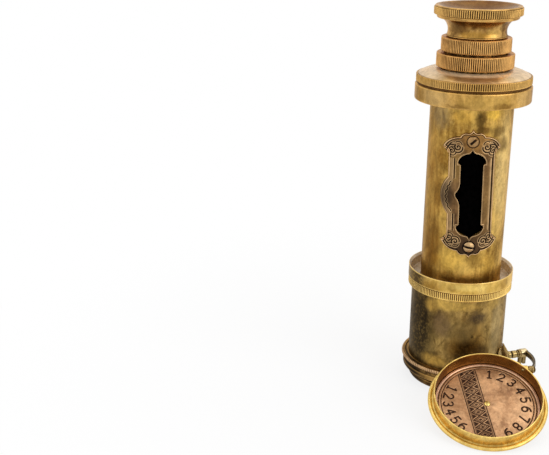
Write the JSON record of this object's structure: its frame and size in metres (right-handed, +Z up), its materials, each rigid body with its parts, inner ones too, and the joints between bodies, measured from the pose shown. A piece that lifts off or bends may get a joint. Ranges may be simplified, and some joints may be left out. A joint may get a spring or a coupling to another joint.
{
  "type": "hand telescope",
  "caption": "Pocket telescope with brass draw tubes, a sliding shade, a scalloped window plate, flared eyecup and a hinged lens cap on a curved link.",
  "frame": {"origin": "middle of the foot's lower face, on the tubes' axis", "axes": "+Z up the tubes to the eyecup, -Y towards the side that the window plate faces, +X to the side of the cap's hinge"},
  "size_m": [0.0543, 0.0857, 0.1539],
  "materials": {
    "shade_brass": "tarnished, satin",
    "foot_brass": "aged, satin",
    "cup_brass": "polished, worn",
    "hinge_brass": "aged",
    "barrel_brass": "aged, satin with brown tarnish",
    "flange_brass": "polished, worn",
    "plate_bronze": "dark, engraved",
    "draw_brass": "bright, slid clean",
    "collar_brass": "milled, tarnished",
    "eyecup_brass": "aged, milled band",
    "fitting_brass": "turned, dull",
    "blackened": "matt black inside",
    "cap_brass": "aged, copper toned inside",
    "cap_copper": "copper disc, worn satin",
    "lens_glass": "polished"
  },
  "bodies": {
    "shade_body": {"shade_tube": "shade_brass", "mouth_ring": "foot_brass", "base_ring": "foot_brass", "cup_collar": "cup_brass", "hinge_bracket": "hinge_brass", "bracket_pin": "hinge_brass"},
    "barrel_body": {"main_barrel": "barrel_brass", "window_liner": "blackened", "window_plate": "plate_bronze", "plate_screws": "plate_bronze", "flange_cup": "flange_brass", "flange_cover": "flange_brass", "barrel_guide": "fitting_brass", "objective_cell": "fitting_brass", "crown_lens": "lens_glass", "flint_lens": "lens_glass", "objective_ring": "fitting_brass", "barrel_stop": "blackened"},
    "first_draw_body": {"first_draw_tube": "draw_brass", "first_collar": "collar_brass", "first_guide": "fitting_brass", "first_stop_ring": "fitting_brass"},
    "second_draw_body": {"second_draw_tube": "draw_brass", "second_collar": "collar_brass", "second_guide": "fitting_brass", "second_stop_ring": "fitting_brass"},
    "eyepiece_body": {"eyepiece_tube": "draw_brass", "eye_stop_ring": "fitting_brass", "eyecup": "eyecup_brass", "eyepiece_cell": "fitting_brass", "eye_lens": "lens_glass", "field_lens": "lens_glass", "lens_spacer": "blackened", "erector_tube": "fitting_brass", "erector_lens_lower": "lens_glass", "erector_lens_upper": "lens_glass", "erector_stop": "blackened"},
    "link_body": {"cap_link": "hinge_brass"},
    "cap_body": {"cap_shell": "cap_brass", "cap_disc": "cap_copper", "cap_stud": "cap_brass", "cap_pin": "hinge_brass"}
  },
  "joints": [
    {"name": "barrel_slide", "type": "slide", "parent": "shade_body", "child": "barrel_body", "axis": [0, 0, 1], "range_m": [0, 0.018]},
    {"name": "first_draw_slide", "type": "slide", "parent": "barrel_body", "child": "first_draw_body", "axis": [0, 0, 1], "range_m": [0, 0.0825]},
    {"name": "second_draw_slide", "type": "slide", "parent": "first_draw_body", "child": "second_draw_body", "axis": [0, 0, 1], "range_m": [0, 0.0875]},
    {"name": "eyepiece_slide", "type": "slide", "parent": "second_draw_body", "child": "eyepiece_body", "axis": [0, 0, 1], "range_m": [0, 0.0905]},
    {"name": "link_swing", "type": "hinge", "parent": "shade_body", "child": "link_body", "pos_m": [0.02869, 0.00085, 0.0098], "axis": [0.9272, 0.3746, 0], "range_deg": [0, 179]},
    {"name": "cap_turn", "type": "hinge", "parent": "link_body", "child": "cap_body", "pos_m": [0.0266, -0.03053, 0.01806], "axis": [0.9979, 0.0606, 0.0241], "range_deg": [-201.01, 0]}
  ],
  "couplings": [
    {"joint": "cap_turn", "follows": "link_swing", "ratio": -1.1229}
  ]
}
